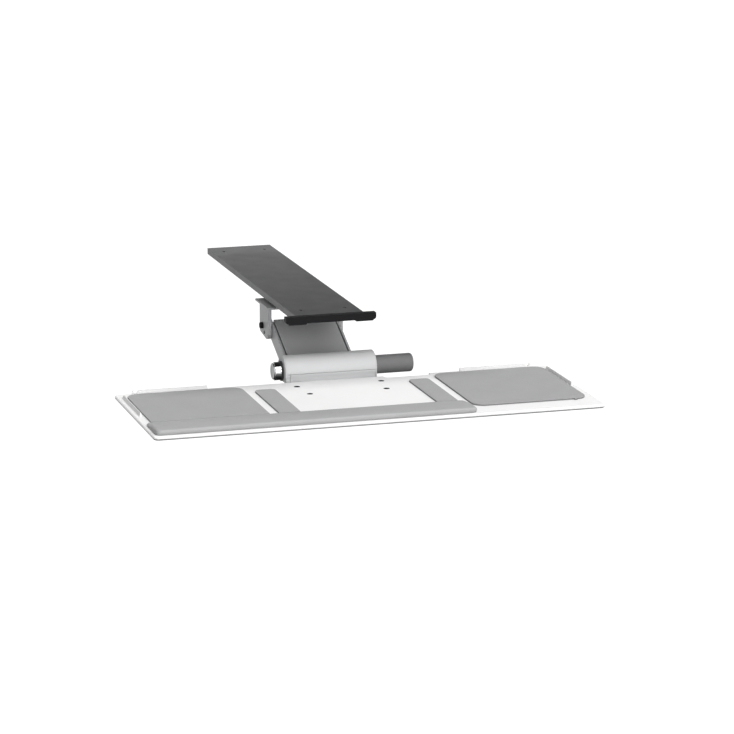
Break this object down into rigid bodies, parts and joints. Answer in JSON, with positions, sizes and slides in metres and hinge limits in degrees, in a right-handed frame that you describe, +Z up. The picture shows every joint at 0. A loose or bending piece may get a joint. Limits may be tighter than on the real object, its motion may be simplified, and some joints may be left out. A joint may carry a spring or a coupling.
{
  "type": "keyboard tray under desk",
  "caption": "White keyboard tray with grey palm rest, mouse pads and low fences, carried under a worktop on a sliding, swivelling, lifting and tilting arm",
  "frame": {"origin": "centre of the face of the track that is screwed up against the underside of a worktop", "axes": "+X is the user's right, +Y points away from the user along the track, +Z is up, the outward normal of the track's mounting face"},
  "size_m": [0.686, 0.8446, 0.1215],
  "materials": {
    "track_steel": "satin",
    "arm_grey": "satin",
    "arm_silver": "satin",
    "housing_silver": "satin",
    "black_plastic": "matte",
    "bare_steel": "brushed",
    "black_steel": "satin",
    "knob_chrome": "polished",
    "knob_satin": "satin",
    "nut_brass": "machined",
    "grip_rubber": "matte",
    "board_white": "satin",
    "fence_white": "satin",
    "palm_grey": "matte",
    "pad_grey": "matte"
  },
  "bodies": {
    "track": {"track_rail": "track_steel", "front_bar": "black_plastic", "rear_stop": "black_plastic"},
    "carriage": {"carriage": "track_steel", "left_glide": "black_plastic", "right_glide": "black_plastic", "thrust_washer": "black_plastic", "swivel_bolt": "bare_steel", "swivel_nut": "bare_steel"},
    "swivel": {"swivel_disc": "arm_grey", "pivot_bracket": "arm_silver", "bracket_rivets": "bare_steel", "upper_pin": "bare_steel", "upper_pin_heads": "black_plastic", "ear_rivets": "track_steel", "upper_link_pin": "bare_steel", "lift_springs": "bare_steel"},
    "arm": {"arm_left_plate": "arm_silver", "arm_right_plate": "arm_silver", "arm_cover": "arm_grey", "arm_floor": "arm_grey", "arm_spacers": "bare_steel", "upper_bushes": "black_plastic", "lower_bushes": "black_plastic"},
    "link": {"levelling_link": "track_steel"},
    "head": {"tilt_head": "arm_grey", "lower_pin": "bare_steel", "lower_pin_heads": "black_plastic", "lower_link_pin": "bare_steel", "left_trunnion": "bare_steel", "right_trunnion": "bare_steel", "knob_ring": "black_plastic", "release_spring": "bare_steel"},
    "knob": {"tilt_knob": "knob_chrome", "knob_cap": "knob_satin", "tilt_screw": "bare_steel"},
    "nut": {"tilt_nut": "nut_brass"},
    "handle": {"handle_core": "black_plastic", "rubber_grip": "grip_rubber"},
    "board": {"board_bracket": "arm_grey", "front_panel": "housing_silver", "housing_cover": "housing_silver", "left_end_cap": "housing_silver", "right_end_cap": "housing_silver", "board_screws": "black_steel", "board": "board_white", "palm_rest": "palm_grey", "left_mouse_pad": "pad_grey", "right_mouse_pad": "pad_grey", "left_grip_strip": "pad_grey", "right_grip_strip": "pad_grey", "left_back_fence": "fence_white", "right_back_fence": "fence_white", "left_side_fence": "fence_white", "right_side_fence": "fence_white"}
  },
  "joints": [
    {"name": "track_slide", "type": "slide", "parent": "track", "child": "carriage", "axis": [0, -1, 0], "range_m": [-0.285, 0.1]},
    {"name": "swivel_turn", "type": "hinge", "parent": "carriage", "child": "swivel", "pos_m": [0, -0.1, -0.0131], "axis": [0, 0, 1], "range_deg": [-90, 90]},
    {"name": "arm_lift", "type": "hinge", "parent": "swivel", "child": "arm", "pos_m": [0, -0.11, -0.0496], "axis": [-1, 0, 0], "range_deg": [-20, 20]},
    {"name": "link_swing", "type": "hinge", "parent": "swivel", "child": "link", "pos_m": [0, -0.11519, -0.03878], "axis": [-1, 0, 0], "range_deg": [-20, 20]},
    {"name": "head_level", "type": "hinge", "parent": "arm", "child": "head", "pos_m": [0, -0.23508, -0.10953], "axis": [-1, 0, 0], "range_deg": [-20, 20]},
    {"name": "board_tilt", "type": "hinge", "parent": "head", "child": "board", "pos_m": [0, -0.26508, -0.08723], "axis": [1, 0, 0], "range_deg": [-12, 12]},
    {"name": "knob_turn", "type": "hinge", "parent": "head", "child": "knob", "pos_m": [-0.0756, -0.26508, -0.08723], "axis": [1, 0, 0], "range_deg": [-360, 360]},
    {"name": "nut_slide", "type": "slide", "parent": "head", "child": "nut", "axis": [1, 0, 0], "range_m": [-0.0081, 0.0081]},
    {"name": "handle_twist", "type": "hinge", "parent": "head", "child": "handle", "pos_m": [0.0733, -0.26508, -0.08723], "axis": [1, 0, 0], "range_deg": [0, 25], "stiffness_Nm_per_rad": 0.5}
  ],
  "couplings": [
    {"joint": "link_swing", "follows": "arm_lift", "ratio": 1},
    {"joint": "head_level", "follows": "arm_lift", "ratio": -1},
    {"joint": "knob_turn", "follows": "board_tilt", "ratio": 30},
    {"joint": "nut_slide", "follows": "board_tilt", "m_per_rad": 0.038197}
  ]
}
